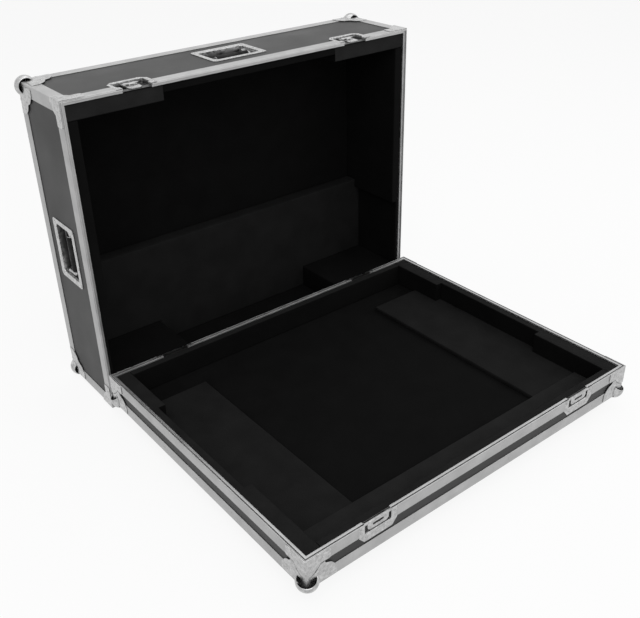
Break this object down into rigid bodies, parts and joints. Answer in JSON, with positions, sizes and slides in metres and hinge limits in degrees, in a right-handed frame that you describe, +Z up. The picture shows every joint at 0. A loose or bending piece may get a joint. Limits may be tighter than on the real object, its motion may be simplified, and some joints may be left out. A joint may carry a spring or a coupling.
{
  "type": "flight case",
  "caption": "Open flight case for a mixing desk: a shallow foam-lined base tray with its deep lift-off lid stood upright behind it, with latches and sprung handles.",
  "frame": {"origin": "centre of the footprint of the open case, at floor level", "axes": "+X to the right, +Z up; -Y is the front of the base tray, and the lid stands at +Y"},
  "size_m": [1.054, 1.0958, 0.841],
  "materials": {
    "black_laminate": "black phenolic laminate on plywood, satin",
    "aluminium": "natural extrusion, satin",
    "plated_steel": "zinc plated pressing",
    "bright_steel": "bright plated",
    "black_foam": "black closed-cell foam",
    "pad_foam": "grey-black closed-cell foam",
    "black_rubber": "moulded rubber, matte"
  },
  "bodies": {
    "base": {"base_floor": "black_laminate", "base_front_wall": "black_laminate", "base_rear_wall": "black_laminate", "base_left_wall": "black_laminate", "base_right_wall": "black_laminate", "base_edge_frame": "aluminium", "base_rim": "aluminium", "base_lining": "black_foam", "base_left_pad": "pad_foam", "base_right_pad": "pad_foam", "base_ball_front_left": "plated_steel", "base_ball_front_right": "plated_steel", "base_ball_rear_left": "plated_steel", "base_ball_rear_right": "plated_steel", "strike_front_left": "plated_steel", "strike_front_right": "plated_steel", "strike_rear_left": "plated_steel", "strike_rear_right": "plated_steel", "foot_front_left": "black_rubber", "foot_front_right": "black_rubber", "foot_rear_left": "black_rubber", "foot_rear_right": "black_rubber"},
    "lid": {"lid_top_panel": "black_laminate", "lid_front_wall": "black_laminate", "lid_rear_wall": "black_laminate", "lid_left_wall": "black_laminate", "lid_right_wall": "black_laminate", "lid_edge_frame": "aluminium", "lid_rim": "aluminium", "lid_lining": "black_foam", "lid_pad": "pad_foam", "lid_ball_front_left": "plated_steel", "lid_ball_front_right": "plated_steel", "lid_ball_rear_left": "plated_steel", "lid_ball_rear_right": "plated_steel", "latch_front_left_pan": "plated_steel", "latch_front_right_pan": "plated_steel", "latch_rear_left_pan": "plated_steel", "latch_rear_right_pan": "plated_steel", "handle_front_dish": "plated_steel", "handle_left_dish": "plated_steel", "handle_right_dish": "plated_steel"},
    "front_left_key": {"latch_front_left_hub": "bright_steel"},
    "front_left_wing": {"latch_front_left_wing": "bright_steel"},
    "front_left_hook": {"latch_front_left_hook": "plated_steel"},
    "front_right_key": {"latch_front_right_hub": "bright_steel"},
    "front_right_wing": {"latch_front_right_wing": "bright_steel"},
    "front_right_hook": {"latch_front_right_hook": "plated_steel"},
    "rear_left_key": {"latch_rear_left_hub": "bright_steel"},
    "rear_left_wing": {"latch_rear_left_wing": "bright_steel"},
    "rear_left_hook": {"latch_rear_left_hook": "plated_steel"},
    "rear_right_key": {"latch_rear_right_hub": "bright_steel"},
    "rear_right_wing": {"latch_rear_right_wing": "bright_steel"},
    "rear_right_hook": {"latch_rear_right_hook": "plated_steel"},
    "front_handle": {"handle_front_bail": "plated_steel", "handle_front_grip": "black_rubber"},
    "left_handle": {"handle_left_bail": "plated_steel", "handle_left_grip": "black_rubber"},
    "right_handle": {"handle_right_bail": "plated_steel", "handle_right_grip": "black_rubber"}
  },
  "joints": [
    {"name": "lid_lift", "type": "slide", "parent": "base", "child": "lid", "axis": [0, 0, 1], "range_m": [0, 0.4]},
    {"name": "front_left_key_turn", "type": "hinge", "parent": "lid", "child": "front_left_key", "pos_m": [-0.3265, 0.3259, 0.829], "axis": [0, 0, 1], "range_deg": [0, 180]},
    {"name": "front_left_wing_fold", "type": "hinge", "parent": "front_left_key", "child": "front_left_wing", "pos_m": [-0.3265, 0.3259, 0.82695], "axis": [1, 0, 0], "range_deg": [0, 90]},
    {"name": "front_left_hook_slide", "type": "slide", "parent": "lid", "child": "front_left_hook", "axis": [0, -1, 0], "range_m": [0, 0.016]},
    {"name": "front_right_key_turn", "type": "hinge", "parent": "lid", "child": "front_right_key", "pos_m": [0.3265, 0.3259, 0.829], "axis": [0, 0, 1], "range_deg": [0, 180]},
    {"name": "front_right_wing_fold", "type": "hinge", "parent": "front_right_key", "child": "front_right_wing", "pos_m": [0.3265, 0.3259, 0.82695], "axis": [1, 0, 0], "range_deg": [0, 90]},
    {"name": "front_right_hook_slide", "type": "slide", "parent": "lid", "child": "front_right_hook", "axis": [0, -1, 0], "range_m": [0, 0.016]},
    {"name": "rear_left_key_turn", "type": "hinge", "parent": "lid", "child": "rear_left_key", "pos_m": [-0.3265, 0.3259, 0.012], "axis": [0, 0, -1], "range_deg": [0, 180]},
    {"name": "rear_left_wing_fold", "type": "hinge", "parent": "rear_left_key", "child": "rear_left_wing", "pos_m": [-0.3265, 0.3259, 0.01405], "axis": [-1, 0, 0], "range_deg": [0, 90]},
    {"name": "rear_left_hook_slide", "type": "slide", "parent": "lid", "child": "rear_left_hook", "axis": [0, -1, 0], "range_m": [0, 0.016]},
    {"name": "rear_right_key_turn", "type": "hinge", "parent": "lid", "child": "rear_right_key", "pos_m": [0.3265, 0.3259, 0.012], "axis": [0, 0, -1], "range_deg": [0, 180]},
    {"name": "rear_right_wing_fold", "type": "hinge", "parent": "rear_right_key", "child": "rear_right_wing", "pos_m": [0.3265, 0.3259, 0.01405], "axis": [-1, 0, 0], "range_deg": [0, 90]},
    {"name": "rear_right_hook_slide", "type": "slide", "parent": "lid", "child": "rear_right_hook", "axis": [0, -1, 0], "range_m": [0, 0.016]},
    {"name": "front_handle_swing", "type": "hinge", "parent": "lid", "child": "front_handle", "pos_m": [0, 0.4489, 0.8185], "axis": [-1, 0, 0], "range_deg": [0, 90], "stiffness_Nm_per_rad": 0.4, "springref_deg": -28.65},
    {"name": "left_handle_swing", "type": "hinge", "parent": "lid", "child": "left_handle", "pos_m": [-0.5045, 0.4489, 0.4205], "axis": [0, 0, -1], "range_deg": [0, 90], "stiffness_Nm_per_rad": 0.4, "springref_deg": -28.65},
    {"name": "right_handle_swing", "type": "hinge", "parent": "lid", "child": "right_handle", "pos_m": [0.5045, 0.4489, 0.4205], "axis": [0, 0, 1], "range_deg": [0, 90], "stiffness_Nm_per_rad": 0.4, "springref_deg": -28.65}
  ],
  "couplings": [
    {"joint": "front_left_hook_slide", "follows": "front_left_key_turn", "m_per_rad": 0.00509},
    {"joint": "front_right_hook_slide", "follows": "front_right_key_turn", "m_per_rad": 0.00509},
    {"joint": "rear_left_hook_slide", "follows": "rear_left_key_turn", "m_per_rad": 0.00509},
    {"joint": "rear_right_hook_slide", "follows": "rear_right_key_turn", "m_per_rad": 0.00509}
  ]
}
